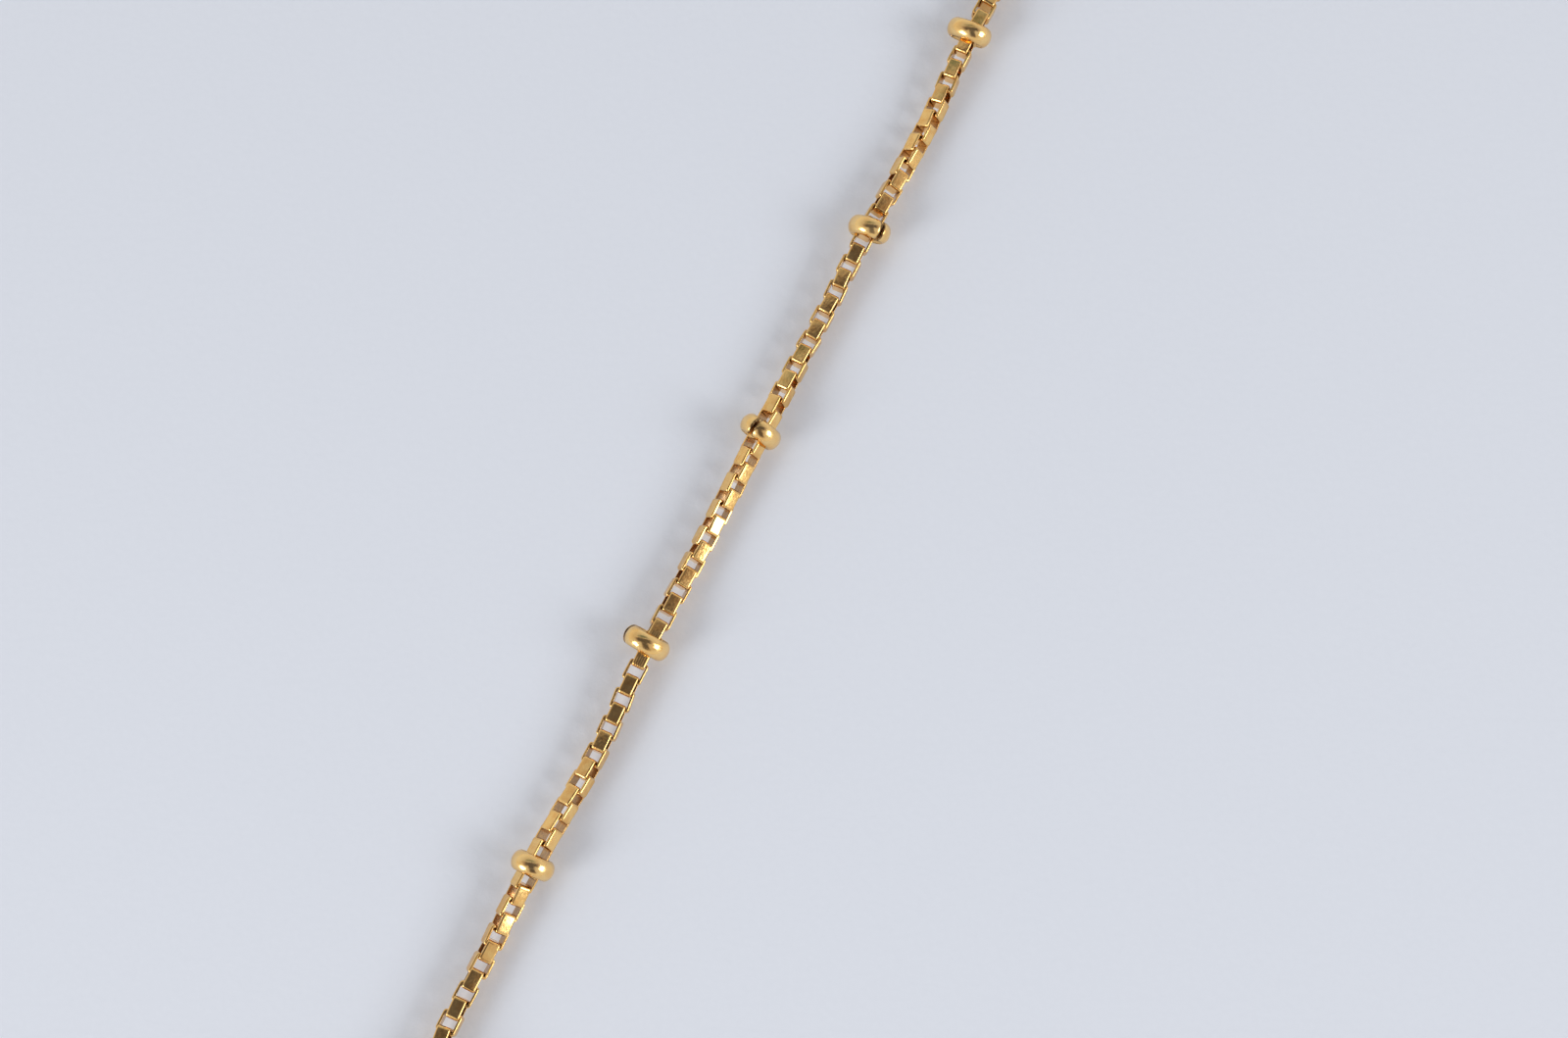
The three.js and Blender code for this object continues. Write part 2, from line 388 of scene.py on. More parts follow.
class Sheet:
    """The nodes of a material or of the sky, with short calls to add and join them.

    Attributes:
        mix_colours: which inputs of a colour mix take the two colours.
        mix_result: which of its outputs gives the mixed one.
    """

    mix_colours: tuple[int, int] = (6, 7)
    mix_result: int = 2

    def __init__(self, owner: bpy.types.Material | bpy.types.World) -> None:
        """Starts on the owner's own nodes.

        Args:
            owner: the material or the world that the nodes belong to.
        """
        owner.use_nodes = True
        self.nodes = owner.node_tree.nodes
        self.links = owner.node_tree.links

    def add(self, kind: str, **settings: object) -> bpy.types.Node:
        """Adds a node.

        Args:
            kind: the node's type, without ShaderNode in front.
            settings: its settings, by name.

        Returns:
            The new node.
        """
        node = self.nodes.new("ShaderNode" + kind)
        for name, value in settings.items():
            setattr(node, name, value)
        return node

    def join(self, source: bpy.types.NodeSocket, target: bpy.types.NodeSocket) -> None:
        """Joins an output to an input."""
        self.links.new(source, target)

    def named(self, name: str, output: str) -> bpy.types.NodeSocket:
        """Reads a value that the mesh holds at each point.

        Args:
            name: the value's name.
            output: the node's output to read it from.

        Returns:
            That output.
        """
        node = self.add("Attribute", attribute_type="GEOMETRY", attribute_name=name)
        return node.outputs[output]

    def noise(
        self, place: bpy.types.NodeSocket, stretch: tuple[float, float, float], detail: float
    ) -> bpy.types.NodeSocket:
        """Adds a noise along the wire.

        Args:
            place: the place in millimetres.
            stretch: how many waves each millimetre has along, across and through the wire.
            detail: how fine its smallest waves are.

        Returns:
            The noise, from 0 to 1.
        """
        scaled = self.add("Mapping")
        scaled.inputs["Scale"].default_value = stretch
        self.join(place, scaled.inputs["Vector"])
        noise = self.add("TexNoise")
        noise.inputs["Scale"].default_value = 1.0
        noise.inputs["Detail"].default_value = detail
        self.join(scaled.outputs["Vector"], noise.inputs["Vector"])
        return noise.outputs["Fac"]

    def ranged(
        self, source: bpy.types.NodeSocket, start: tuple[float, float], end: tuple[float, float]
    ) -> bpy.types.NodeSocket:
        """Turns one range of values into another, and holds it there.

        Args:
            source: the value.
            start: the range that it has.
            end: the range that it gets.

        Returns:
            The new value.
        """
        node = self.add("MapRange", interpolation_type="SMOOTHSTEP")
        for name, value in zip(("From Min", "From Max", "To Min", "To Max"), (*start, *end)):
            node.inputs[name].default_value = value
        self.join(source, node.inputs["Value"])
        return node.outputs["Result"]

    def mixed(
        self,
        share: bpy.types.NodeSocket,
        first: tuple[float, float, float] | bpy.types.NodeSocket,
        second: tuple[float, float, float] | bpy.types.NodeSocket,
    ) -> bpy.types.NodeSocket:
        """Mixes two colours.

        Args:
            share: how much of the second colour there is.
            first: the first colour, or the socket that gives it.
            second: the second colour, or the socket that gives it.

        Returns:
            The mixed colour.
        """
        node = self.add("Mix", data_type="RGBA")
        self.join(share, node.inputs["Factor"])
        for number, colour in zip(self.mix_colours, (first, second)):
            if isinstance(colour, tuple):
                node.inputs[number].default_value = (*colour, 1.0)
            else:
                self.join(colour, node.inputs[number])
        return node.outputs[self.mix_result]

    def maths(
        self, operation: str, first: bpy.types.NodeSocket, second: bpy.types.NodeSocket | float
    ) -> bpy.types.NodeSocket:
        """Works out a value from two others.

        Args:
            operation: the Math node's operation.
            first: the first value.
            second: the second value, or the socket that gives it.

        Returns:
            The result.
        """
        node = self.add("Math", operation=operation)
        self.join(first, node.inputs[0])
        if isinstance(second, float):
            node.inputs[1].default_value = second
        else:
            self.join(second, node.inputs[1])
        return node.outputs[0]


@dataclass(frozen=True)
class GoldFinish:
    """Polished yellow gold, drawn or worn in streaks along its wire, with tarnish by its cut ends and
    painted shade in slits, bores and inner faces.

    Attributes:
        name: the material's name.
        bright: the metal's colour where it is clean.
        deep: its colour in duller patches.
        tarnish_and_painted_shade: its colour by a cut end and on an inner face: tarnish near the end,
            painted shade in the slit, the bore and a link's inside.
        patch_waves: the waves in a millimetre of those patches.
        streak_waves: the waves in a millimetre of the streaks along, across and through the wire.
        streak_depth: how deep they are, in millimetres.
        dent_waves: the waves in a millimetre of the soft dents.
        dent_depth: how deep those are, in millimetres.
        polish: the roughness where the streaks are low, and where they are high or by a cut end or an
            inner face.
        seam_reach: how far the tarnish and painted shade reach from a cut end or an inner face, in
            millimetres.
        patch_detail: how fine the smallest waves of the patches are.
        streak_detail: how fine those of the streaks are.
        dent_detail: how fine those of the dents are.
        patch_fade: the patches' heights between which the colour turns dull.
        dull_fade: the streaks' heights between which the roughness grows.
        speckle_fade: the streaks' heights between which the tarnish and painted shade grow.
        speckle_share: how much of the tarnish and painted shade there is below those heights and
            above them.
    """

    name: str
    bright: tuple[float, float, float]
    deep: tuple[float, float, float]
    tarnish_and_painted_shade: tuple[float, float, float] = (0.07, 0.045, 0.02)
    patch_waves: float = 1.2
    streak_waves: tuple[float, float, float] = (1.6, 11.0, 11.0)
    streak_depth: float = 0.002
    dent_waves: float = 2.2
    dent_depth: float = 0.004
    polish: tuple[float, float] = (0.16, 0.3)
    seam_reach: float = 0.16
    patch_detail: float = 2.0
    streak_detail: float = 3.0
    dent_detail: float = 1.0
    patch_fade: tuple[float, float] = (0.35, 0.7)
    dull_fade: tuple[float, float] = (0.3, 0.7)
    speckle_fade: tuple[float, float] = (0.3, 0.6)
    speckle_share: tuple[float, float] = (0.6, 1.0)

    def material(self) -> bpy.types.Material:
        """Makes the material.

        Returns:
            The new material.
        """
        material = bpy.data.materials.new(self.name)
        sheet = Sheet(material)
        shader = sheet.nodes["Principled BSDF"]
        place = sheet.named(PLACE, "Vector")
        patches = sheet.noise(place, (self.patch_waves,) * 3, self.patch_detail)
        streaks = sheet.noise(place, self.streak_waves, self.streak_detail)
        dents = sheet.noise(place, (self.dent_waves,) * 3, self.dent_detail)
        near_seam = sheet.ranged(sheet.named(SEAM, "Fac"), (0.0, self.seam_reach), FALLING)
        speckles = sheet.ranged(streaks, self.speckle_fade, self.speckle_share)
        speckled = sheet.maths("MULTIPLY", near_seam, speckles)
        clean = sheet.mixed(sheet.ranged(patches, self.patch_fade, RISING), self.bright, self.deep)
        # Mixes in the darker colour by cut ends and inner faces: painted shade in slits, bores and
        # link insides, tarnish beside the cut ends
        sheet.join(sheet.mixed(speckled, clean, self.tarnish_and_painted_shade), shader.inputs["Base Color"])
        dull = sheet.maths("MAXIMUM", sheet.ranged(streaks, self.dull_fade, RISING), near_seam)
        sheet.join(sheet.ranged(dull, RISING, self.polish), shader.inputs["Roughness"])
        shader.inputs["Metallic"].default_value = 1.0
        sheet.join(self._bumped(sheet, dents, streaks), shader.inputs["Normal"])
        return material

    def _bumped(
        self, sheet: Sheet, dents: bpy.types.NodeSocket, streaks: bpy.types.NodeSocket
    ) -> bpy.types.NodeSocket:
        """Raises the dents and the streaks on them.

        Args:
            sheet: the material's nodes.
            dents: the height of the dents.
            streaks: the height of the streaks.

        Returns:
            The bumped surface's normal.
        """
        soft = sheet.add("Bump")
        soft.inputs["Distance"].default_value = self.dent_depth * MM
        sheet.join(dents, soft.inputs["Height"])
        fine = sheet.add("Bump")
        fine.inputs["Distance"].default_value = self.streak_depth * MM
        sheet.join(streaks, fine.inputs["Height"])
        sheet.join(soft.outputs["Normal"], fine.inputs["Normal"])
        return fine.outputs["Normal"]


CHAIN_GOLD = GoldFinish(
    "box_chain_gold",
    bright=(0.95, 0.62, 0.24),
    deep=(0.87, 0.5, 0.17),
    # Painted shade: the colour of the links' inner faces, inside the box
    tarnish_and_painted_shade=(0.48, 0.3, 0.17),
    patch_waves=2.5,
    streak_waves=(6.0, 9.0, 9.0),
    streak_depth=0.006,
    polish=(0.1, 0.22),
    seam_reach=0.12,
)
BEAD_GOLD = GoldFinish(
    "ring_bead_gold",
    bright=(0.97, 0.66, 0.28),
    deep=(0.92, 0.57, 0.21),
    # Painted shade in the bore and the seam's slit, and tarnish on the round side by the seam
    tarnish_and_painted_shade=(0.15, 0.08, 0.035),
    patch_waves=2.0,
    streak_waves=(4.0, 8.0, 8.0),
    streak_depth=0.005,
    polish=(0.11, 0.24),
    seam_reach=0.1,
)
CLASP_GOLD = GoldFinish(
    "clasp_gold",
    bright=(0.95, 0.67, 0.24),
    deep=(0.9, 0.6, 0.19),
    streak_depth=0.001,
    polish=(0.12, 0.22),
)


@dataclass(frozen=True)
class PaperFinish:
    """Smooth pale paper with a faint tooth.

    Attributes:
        name: the material's name.
        tint: the paper's colour.
        shade: its colour in the faintly darker fibres.
        fibre_waves: the waves of the fibres in a metre.
        fibre_detail: how fine the smallest of them are.
        tooth: the height of the tooth, in metres.
        roughness: how rough it is.
        gloss: how much of a mirror's light it gives back.
    """

    name: str = "pale_paper"
    tint: tuple[float, float, float] = (0.81, 0.862, 0.968)
    shade: tuple[float, float, float] = (0.79, 0.842, 0.948)
    fibre_waves: float = 2600.0
    fibre_detail: float = 4.0
    tooth: float = 0.00002
    roughness: float = 0.9
    gloss: float = 0.2

    def material(self) -> bpy.types.Material:
        """Makes the material.

        Returns:
            The new material.
        """
        material = bpy.data.materials.new(self.name)
        sheet = Sheet(material)
        shader = sheet.nodes["Principled BSDF"]
        place = sheet.add("TexCoord").outputs["Object"]
        fibres = sheet.noise(place, (self.fibre_waves,) * 3, self.fibre_detail)
        sheet.join(sheet.mixed(fibres, self.tint, self.shade), shader.inputs["Base Color"])
        tooth = sheet.add("Bump")
        tooth.inputs["Distance"].default_value = self.tooth
        sheet.join(fibres, tooth.inputs["Height"])
        sheet.join(tooth.outputs["Normal"], shader.inputs["Normal"])
        shader.inputs["Roughness"].default_value = self.roughness
        shader.inputs["Specular IOR Level"].default_value = self.gloss
        return material


@dataclass(frozen=True)
class BoxLink:
    """A square link folded from strip, its length along X and its opening along Z.

    Attributes:
        strip_width: how wide the strip is.
        strip_thickness: how thick it is.
        width: the link's width over all.
        length: its length over all.
        bend_radius: the outer radius of its four bends.
        swell: the angle that each flat side has already turned by where its bends start.
        edge_run: how far the worn outer edges reach in across the strip.
        edge_drop: how far they reach down its thickness.
        edge_start: the angle that the strip has already turned by where they start.
        burr: the radius of its inner edges.
        grooves: how many grooves run round its outer face.
        groove_depth: how deep they are.
        inner_from: a point that faces outwards by less than this is on the inner face, where the
            finish paints shade.
        bend_steps: the faces round each bend.
        edge_steps: the faces over each outer edge.
        groove_steps: the faces over each groove.
    """

    strip_width: float = 0.7
    strip_thickness: float = 0.15
    width: float = 1.05
    length: float = 1.12
    bend_radius: float = 0.17
    swell: float = math.radians(1.5)
    edge_run: float = 0.11
    edge_drop: float = 0.08
    edge_start: float = math.radians(3)
    burr: float = 0.02
    grooves: int = 0
    groove_depth: float = 0.006
    inner_from: float = -0.5
    bend_steps: int = 4
    edge_steps: int = 4
    groove_steps: int = 6

    def outline(self) -> tuple[np.ndarray, np.ndarray]:
        """The strip's outer line, round the link.

        Returns:
            The line's points in the plan of the link, and the outward directions there.
        """
        reach_x = self.length / 2 - self.bend_radius
        reach_y = self.width / 2 - self.bend_radius
        points = []
        directions = []
        for quarter in range(4):
            facing = quarter * math.pi / 2
            corner = facing + math.pi / 4
            centre_x = math.copysign(reach_x, math.cos(corner))
            centre_y = math.copysign(reach_y, math.sin(corner))
            for angle in np.linspace(self.swell, math.pi / 2 - self.swell, self.bend_steps + 1):
                out_x = math.cos(facing + angle)
                out_y = math.sin(facing + angle)
                x = centre_x + self.bend_radius * out_x
                y = centre_y + self.bend_radius * out_y
                points.append((x, y))
                directions.append((out_x, out_y))
        return np.array(points), np.array(directions)

    def section(self) -> tuple[np.ndarray, np.ndarray]:
        """The strip's section: its outer edges well worn, its inner ones nearly sharp, and any
        grooves in its outer face.

        Returns:
            Its points as (inwards from the outer face, across the strip), and the directions
            there as (outwards, across the strip).
        """
        half = self.strip_width / 2
        worn = np.linspace(self.edge_start, math.pi / 2, self.edge_steps + 1)
        outer = np.stack([
            self.edge_drop * (1 - np.cos(worn)),
            half - self.edge_run * (1 - np.sin(worn)),
        ], 1)
        outer_facing = np.stack([np.cos(worn) / self.edge_drop, np.sin(worn) / self.edge_run], 1)
        outer_facing /= np.linalg.norm(outer_facing, axis=1)[:, None]
        sharp = np.array([math.pi / 2, math.pi])
        inner = np.stack([
            self.strip_thickness - self.burr * (1 + np.cos(sharp)),
            half - self.burr * (1 - np.sin(sharp)),
        ], 1)
        inner_facing = np.stack([np.cos(sharp), np.sin(sharp)], 1)
        mirrored = (1, -1)
        points = np.concatenate([outer, inner])
        facing = np.concatenate([outer_facing, inner_facing])
        grooved, grooved_facing = self._grooved()
        points = np.concatenate([points, points[::-1] * mirrored, grooved])
        facing = np.concatenate([facing, facing[::-1] * mirrored, grooved_facing])
        return points, facing

    def _grooved(self) -> tuple[np.ndarray, np.ndarray]:
        """The outer face's grooves, from one worn edge to the other.

        Returns:
            Their points and the directions there, as in the section.
        """
        flat = self.strip_width / 2 - self.edge_run
        across = np.linspace(-flat, flat, self.grooves * self.groove_steps + 1)[1:-1]
        waves = math.pi * self.grooves / flat
        turns = waves * (across + flat)
        slope = self.groove_depth * waves * np.sin(turns) / 2
        points = np.stack([self.groove_depth * (1 - np.cos(turns)) / 2, across], 1)
        facing = np.stack([np.ones_like(slope), slope], 1)
        return points, facing / np.linalg.norm(facing, axis=1)[:, None]

    def shape(self) -> Shape:
        """Builds one link round its own middle.

        Returns:
            The link's shape, with its exact normals.
        """
        line, out = self.outline()
        section, facing = self.section()
        run = np.concatenate([[0], np.cumsum(np.linalg.norm(np.diff(line, axis=0), axis=1))])
        points = []
        normals = []
        place = []
        seam = []
        for spot, direction, distance in zip(line, out, run):
            for (inwards, across), (outwards, sideways) in zip(section, facing):
                points.append((*(spot - direction * inwards), across))
                normals.append((*(direction * outwards), sideways))
                place.append((distance, across, inwards))
                # Points on the inner face are marked for painted shade inside the box
                seam.append(0.0 if outwards < self.inner_from else FAR_FROM_SEAM)
        faces = ring_faces(len(line), len(section), closed=True)
        return Shape(np.array(points), faces, np.array(place), np.array(normals), np.array(seam))


@dataclass
class BoxChain:
    """One side's run of links, each a quarter turn from the last.

    Attributes:
        side: the side of the loop.
        route: the loop that it follows.
        twists: how far the chain is twisted, in degrees, by the bead it is at.
        scored: the numbers of its links that are scored with grooves, counted from the front.
        link: the plain link it is made of.
        scored_link: the link with grooves.
        loose_turn: how far a link usually turns out of line, in degrees.
        loose_shift: how far it usually shifts, in millimetres.
        seed: what the random numbers of both sides start from.
        place_spread: how far apart in the finish's noise the links may lie, in millimetres.
    """

    side: Side
    route: Route
    twists: tuple[tuple[float, float], ...]
    scored: tuple[int, ...]
    link: BoxLink = field(default_factory=BoxLink)
    scored_link: BoxLink = field(default_factory=lambda: BoxLink(grooves=4))
    loose_turn: float = 1.6
    loose_shift: float = 0.008
    seed: int = 7
    place_spread: float = 400.0

    def twist(self, distance: float) -> float:
        """How far the chain is twisted.

        Args:
            distance: how far along the chain, from the front.

        Returns:
            The twist in radians.
        """
        beads = [bead for bead, _ in self.twists]
        turns = [turn for _, turn in self.twists]
        return math.radians(float(np.interp(distance / self.route.bead_spacing, beads, turns)))

    def build(self, finish: bpy.types.Material) -> None:
        """Makes the run of links as one piece.

        Args:
            finish: the chain's material.
        """
        plain = self.link.shape()
        grooved = self.scored_link.shape()
        draw = np.random.default_rng(self.side.value + self.seed)
        first = 0 if self.side is Side.LEFT else 1
        last = round(self.route.half_chain / self.route.link_pitch)
        shapes = []
        for index in range(first, last + 1):
            distance = index * self.route.link_pitch
            roll = self.twist(distance) + (index % 2) * math.pi / 2
            loose = np.radians(draw.normal(0, self.loose_turn, 3))
            shift = draw.normal(0, self.loose_shift, 3)
            spin = Matrix.Rotation(roll + loose[0], 4, "X")
            tip = Matrix.Rotation(loose[1], 4, "Y") @ Matrix.Rotation(loose[2], 4, "Z")
            place = self.route.setting(self.side, distance) @ Matrix.Translation(shift) @ spin @ tip
            shape = (grooved if index in self.scored else plain).moved(place)
            shape.place = shape.place + draw.uniform(0, self.place_spread, 3)
            shapes.append(shape)
        piece = Shape.joined(shapes).piece(f"box_links_{self.side.word}", finish)
        fit_piece(piece, Slot.CHAIN, f"chain_{self.side.word}")


@dataclass(frozen=True)
class BeadSet:
    """How a bead sits on the chain.

    Attributes:
        turn: degrees that its seam is turned from the top towards the inside of the loop.
        lean: degrees that its top is tipped towards the front.
        yaw: degrees that it is swung, seen from above.
        lip: how far its two ends stand out, in millimetres.
    """

    turn: float
    lean: float
    yaw: float
    lip: float


# How the beads in view sit, by side and number
BEAD_SETS = {
    (Side.LEFT, 11): BeadSet(150, 2, 4, 0.08),
    (Side.LEFT, 12): BeadSet(-65, 9, -3, 0.33),
    (Side.LEFT, 13): BeadSet(-12, 7, -10, 0.28),
    (Side.LEFT, 14): BeadSet(38, 11, 7, 0.2),
    (Side.LEFT, 15): BeadSet(-112, 18, 4, 0.3),
}
FRONT_SET = BeadSet(0, 0, 0, 0.25)
# The most that the other beads turn and lean, their lip, and the rule's step from bead to bead
LOOSE_TURN = 100.0
LOOSE_LEAN = 6.0
LOOSE_LIP = 0.25
LOOSE_STEP = 2.4


def bead_set(side: Side, number: int) -> BeadSet:
    """How a bead sits: as its own row says, or else by the steady rule of the solids.

    Args:
        side: the side of the loop.
        number: the bead's number, counted back from the front one.

    Returns:
        How it sits.
    """
    phase = LOOSE_STEP * number + side.value
    by_rule = BeadSet(
        LOOSE_TURN * math.sin(phase),
        LOOSE_LEAN * math.sin(2 * phase),
        LOOSE_LEAN * math.cos(3 * phase),
        LOOSE_LIP,
    )
    return BEAD_SETS.get((side, number), by_rule)


@dataclass(frozen=True)
class RingBead:
    """Half-round wire closed round the chain, with an open seam.

    Attributes:
        radius: the bead's outer radius.
        hole_radius: the radius of its hole at the middle.
        mouth_radius: the radius of its hole at either end.
        crown: half the width that its round section would have if it went on to the hole.
        seam: the gap between its two ends.
        jag: how uneven the cut ends are.
        jag_step: how much the angle of that unevenness grows from point to point.
        bevel: how far their edges are rounded.
        lip_power: how closely the ends' lift keeps to the ends.
        tarnish_and_shade_reach: the most that a point of the round side counts as away from a cut
            end, for its tarnish and painted shade.
        steps: the faces round the bead.
        crown_steps: the faces over its round side.
        hole_steps: the faces over the hole's side.
    """

    radius: float = 1.1
    hole_radius: float = 0.7
    mouth_radius: float = 0.82
    crown: float = 0.54
    seam: float = 0.15
    jag: float = 0.012
    jag_step: float = 5.1
    bevel: float = 0.03
    lip_power: int = 3
    tarnish_and_shade_reach: float = 0.25
    steps: int = 64
    crown_steps: int = 16
    hole_steps: int = 6

    def section(self) -> np.ndarray:
        """The wire's section: its round side first, then the hole's flared side.

        Returns:
            Its points as (out from the bead's axis, along the axis).
        """
        height = self.radius - self.hole_radius
        edge = math.acos((self.mouth_radius - self.hole_radius) / height)
        angles = np.linspace(-edge, edge, self.crown_steps + 1)
        swelled = self.hole_radius + height * np.cos(angles)
        crown = np.stack([swelled, self.crown * np.sin(angles)], 1)
        mouth = self.crown * math.sin(edge)
        along = np.linspace(mouth, -mouth, self.hole_steps + 1)[1:-1]
        flared = self.hole_radius + (self.mouth_radius - self.hole_radius) * (along / mouth) ** 2
        return np.concatenate([crown, np.stack([flared, along], 1)])

    def shape(self, lip: float) -> Shape:
        """Builds the bead round the Y axis, with its seam towards +Z.

        Args:
            lip: how far its two ends stand out, in millimetres.

        Returns:
            The bead's shape.
        """
        section = self.section()
        middle = section.mean(0)
        spokes = section - middle
        shrunk = 1 - self.bevel / np.linalg.norm(spokes, axis=1)
        inner = middle + spokes * shrunk[:, None]
        shares = np.linspace(0, 1, self.steps + 1)
        rows = [(0.0, inner), *((share, section) for share in shares), (1.0, inner)]
        points = []
        place = []
        seam = []
        for share, line in rows:
            rounding = 0.0 if line is inner else self.bevel
            jag = self.jag if share in (0, 1) else 0.0
            for column, (radius, along) in enumerate(line):
                gap = self.seam / 2 + jag * math.sin(self.jag_step * column) + rounding
                start = math.asin(gap / (radius + lip))
                angle = start + (2 * math.pi - 2 * start) * share
                out = radius + lip * ((1 + math.cos(angle)) / 2) ** self.lip_power
                points.append((out * math.sin(angle), along, out * math.cos(angle)))
                place.append((angle * self.radius, along, radius))
                from_end = self.radius * min(angle - start, 2 * math.pi - start - angle)
                # The hole's side counts as at a cut end, so the bore gets painted shade; the slit's
                # end faces get painted shade, the round side beside them tarnish
                seam.append(0.0 if column > self.crown_steps else min(from_end, self.tarnish_and_shade_reach))
        faces = ring_faces(len(rows), len(section), closed=False)
        return Shape(np.array(points), faces, np.array(place), None, np.array(seam))

    def build(
        self,
        node: str,
        side: Side,
        route: Route,
        distance: float,
        seat: BeadSet,
        finish: bpy.types.Material,
    ) -> None:
        """Makes a bead in its place, just touching the ground.

        Args:
            node: the solid that it replaces.
            side: the side of the loop.
            route: the loop.
            distance: how far along the chain it is, from the front.
            seat: how it sits.
            finish: its material.
        """
        angle = route.heading(distance)
        along = Vector((side.value * math.cos(angle), math.sin(angle), 0))
        across = along.cross(Vector((0, 0, 1)))
        up = Vector((0, 0, 1))
        on_chain = Matrix((across, along, up)).transposed().to_quaternion()
        turned = Quaternion((0, 1, 0), math.radians(-side.value * seat.turn))
        leant = Quaternion(across * -side.value, math.radians(-side.value * seat.lean))
        yawed = Quaternion(up, math.radians(seat.yaw))
        shape = self.shape(seat.lip).moved((yawed @ leant @ on_chain @ turned).to_matrix().to_4x4())
        spot = route.point(side, distance)
        spot.z = -shape.points[:, 2].min()
        shape.place = shape.place + (distance, distance * side.value, 0)
        piece = shape.moved(Matrix.Translation(spot)).piece(f"ring_{node}", finish)
        fit_piece(piece, Slot.BEAD, node)


def wire_ring(radius: float, wire: float, steps: int, sides: int) -> Shape:
    """Builds a plain ring of round wire, flat round the Z axis.

    Args:
        radius: the radius of the wire's middle line.
        wire: the wire's own radius.
        steps: the faces round the ring.
        sides: the faces round the wire.

    Returns:
        The ring's shape.
    """
    round_ring = np.linspace(0, 2 * math.pi, steps, endpoint=False)
    round_wire = np.linspace(0, 2 * math.pi, sides, endpoint=False)
    points = []
    place = []
    for turn in round_ring:
        for angle in round_wire:
            out = radius + wire * math.cos(angle)
            points.append((out * math.cos(turn), out * math.sin(turn), wire * math.sin(angle)))
            place.append((turn * radius, angle * wire, 0))
    faces = ring_faces(steps, sides, closed=True)
    return Shape(np.array(points), faces, np.array(place))


@dataclass(frozen=True)
class JumpRing:
    """The upright ring that joins a side's last link to the clasp.

    Attributes:
        radius: the radius of the wire's middle line.
        wire: the wire's own radius.
        steps: the faces round the ring.
        sides: the faces round the wire.
    """

    radius: float = 1.1
    wire: float = 0.2
    steps: int = 64
    sides: int = 16

    def build(self, side: Side, route: Route, finish: bpy.types.Material) -> None:
        """Makes the ring, standing in the loop's middle line.

        Args:
            side: the side of the loop.
            route: the loop.
            finish: its material.
        """
        spot = Vector((side.value * route.ring_span / 2, route.back_y, route.ring_height))
        upright = Matrix.Translation(spot) @ Matrix.Rotation(math.pi / 2, 4, "X")
        shape = wire_ring(self.radius, self.wire, self.steps, self.sides).moved(upright)
        piece = shape.piece(f"jump_ring_{side.word}", finish)
        fit_piece(piece, Slot.CLASP, f"end_ring_{side.word}")


@dataclass(frozen=True)
class SpringRing:
    """The clasp: a round tube with an eye at one end and a small knob at its side.

    Attributes:
        radius: the radius of the tube's middle line.
        tube: the tube's own radius.
        eye_radius: the radius of the eye's middle line.
        eye_wire: the eye's wire.
        eye_overlap: how far the eye is let into the tube.
        knob_radius: the knob's radius.
        knob_length: how far it stands out of the tube.
        drop: how far below the jump rings' middles the ring hangs at its round end.
        eye_drop: how far below them it hangs at its eye.
        root_share: the part of the knob's radius that its root has, hidden in the tube.
        root_length: how far the root's taper goes.
        steps: the faces round the tube's ring and round the eye's ring.
        sides: the faces round the tube and round the eye's wire.
        knob_sides: the faces round the knob.
        rounding_steps: the faces over its rounded edge.
    """

    radius: float = 2.1
    tube: float = 0.5
    eye_radius: float = 0.75
    eye_wire: float = 0.22
    eye_overlap: float = 0.15
    knob_radius: float = 0.32
    knob_length: float = 0.6
    drop: float = 0.37
    eye_drop: float = 0.6
    root_share: float = 0.9
    root_length: float = 0.05
    steps: tuple[int, int] = (96, 48)
    sides: tuple[int, int] = (28, 16)
    knob_sides: int = 24
    rounding_steps: int = 6

    def _knob(self) -> Shape:
        """Builds the knob, a short round-ended pin, out along Y from the tube's middle line.

        Returns:
            The knob's shape.
        """
        length = self.tube + self.knob_length
        rounding = self.knob_radius / 2
        rows = [(self.knob_radius * self.root_share, 0.0), (self.knob_radius, self.root_length)]
        for angle in np.linspace(0, math.pi / 2, self.rounding_steps + 1):
            rows.append((
                self.knob_radius - rounding + rounding * math.cos(angle),
                length - rounding + rounding * math.sin(angle),
            ))
        points = []
        place = []
        for radius, along in rows:
            for turn in np.linspace(0, 2 * math.pi, self.knob_sides, endpoint=False):
                points.append((radius * math.cos(turn), self.radius + along, radius * math.sin(turn)))
                place.append((along, turn * radius, 0))
        faces = ring_faces(len(rows), self.knob_sides, closed=False)
        return Shape(np.array(points), faces, np.array(place))

    def build(self, route: Route, finish: bpy.types.Material) -> None:
        """Makes the clasp between the two jump rings.

        Args:
            route: the loop.
            finish: its material.
        """
        eye_centre = self.radius + self.tube + self.eye_radius - self.eye_overlap
        reach = self.radius + eye_centre + self.eye_radius
        ring = wire_ring(self.radius, self.tube, self.steps[0], self.sides[0])
        eye = wire_ring(self.eye_radius, self.eye_wire, self.steps[1], self.sides[1])
        eye = eye.moved(Matrix.Translation((eye_centre, 0, 0)))
        whole = Shape.joined([ring, eye, self._knob()])
        tilt = math.asin((self.eye_drop - self.drop) / reach)
        spot = Vector((
            -route.ring_span / 2 + self.radius * math.cos(tilt),
            route.back_y,
            route.ring_height - self.drop - self.radius * math.sin(tilt),
        ))
        placed = Matrix.Translation(spot) @ Matrix.Rotation(tilt, 4, "Y")
        fit_piece(whole.moved(placed).piece("spring_ring", finish), Slot.CLASP, "clasp")


